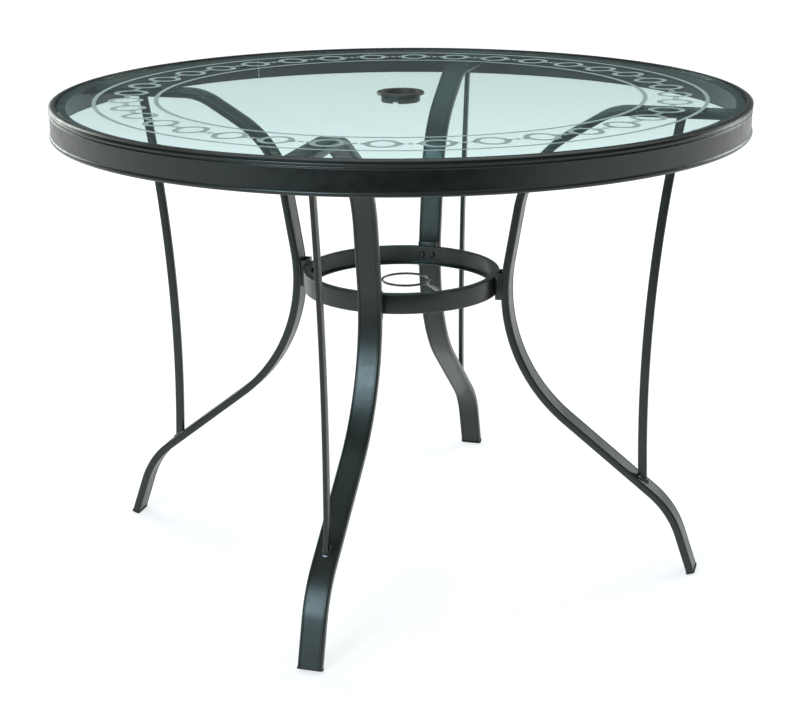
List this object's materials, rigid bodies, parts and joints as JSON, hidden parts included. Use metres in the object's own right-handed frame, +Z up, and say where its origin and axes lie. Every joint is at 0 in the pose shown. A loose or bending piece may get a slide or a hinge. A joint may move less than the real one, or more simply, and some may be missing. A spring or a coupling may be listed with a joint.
{
  "type": "umbrella table",
  "caption": "Round patio table with a tinted glass top and an umbrella hole, on bent bar legs that a stretcher ring ties together.",
  "frame": {"origin": "on the floor under the umbrella pole's axis", "axes": "+Z up along the umbrella pole's axis; the legs point along +X, +Y, -X and -Y"},
  "size_m": [1.0176, 1.0176, 0.7133],
  "materials": {
    "frame_coat": "satin dark bronze powder coat",
    "tinted_glass": "pale aqua tempered glass with a frosted border",
    "black_plastic": "satin moulded black plastic",
    "clear_vinyl": "soft clear vinyl",
    "bronzed_steel": "bronze-coloured zinc plating"
  },
  "bodies": {
    "table_frame": {"rim_ring": "frame_coat", "glass_pads": "clear_vinyl", "stretcher_ring": "frame_coat", "bracket_bolts": "bronzed_steel", "bracket_nuts": "bronzed_steel", "leg_top_screws": "bronzed_steel", "pole_loop": "frame_coat", "leg_right": "frame_coat", "strut_right": "frame_coat", "foot_cap_right": "black_plastic", "leg_bracket_right": "frame_coat", "leg_back": "frame_coat", "strut_back": "frame_coat", "foot_cap_back": "black_plastic", "leg_bracket_back": "frame_coat", "leg_left": "frame_coat", "strut_left": "frame_coat", "foot_cap_left": "black_plastic", "leg_bracket_left": "frame_coat", "leg_front": "frame_coat", "strut_front": "frame_coat", "foot_cap_front": "black_plastic", "leg_bracket_front": "frame_coat"},
    "glass": {"glass_top": "tinted_glass"},
    "hole_ring": {"umbrella_hole_ring": "black_plastic"}
  },
  "joints": [
    {"name": "glass_lift", "type": "slide", "parent": "table_frame", "child": "glass", "axis": [0, 0, 1], "range_m": [0, 0.04]},
    {"name": "hole_ring_lift", "type": "slide", "parent": "glass", "child": "hole_ring", "axis": [0, 0, 1], "range_m": [0, 0.03]}
  ]
}
